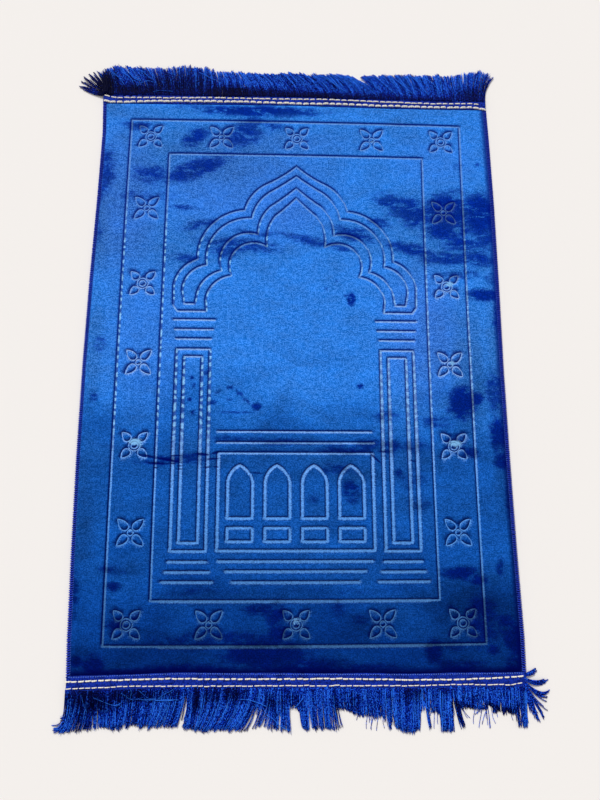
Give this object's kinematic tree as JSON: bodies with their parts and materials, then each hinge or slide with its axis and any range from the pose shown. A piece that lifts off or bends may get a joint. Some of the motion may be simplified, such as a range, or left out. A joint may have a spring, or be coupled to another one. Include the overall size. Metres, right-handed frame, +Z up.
{
  "type": "prayer rug",
  "caption": "Flat padded velvet prayer rug with a pressed-in pointed arch between pillars, an arcade panel, a flower border and fringed ends.",
  "frame": {"origin": "on the surface the rug lies on, under the middle of the mat", "axes": "+Y runs along the rug from the near end to the point of the arch, +X to the right seen from above with the arch pointing away, +Z up from the surface"},
  "size_m": [0.7824, 1.1279, 0.0065],
  "materials": {
    "velvet_pile": "short plush pile with a pressed-in design, royal blue, lighter where the nap turns",
    "fringe_yarn": "cut yarn and its woven heading tape, violet blue, slight sheen",
    "edge_thread": "overlocking thread along the cut edges, violet blue",
    "sewing_thread": "cream sewing thread in long lockstitches",
    "backing_cloth": "plain knitted backing, dark blue, matt"
  },
  "bodies": {
    "root": {"padded_mat": "velvet_pile", "near_fringe": "fringe_yarn", "far_fringe": "fringe_yarn"}
  },
  "joints": []
}
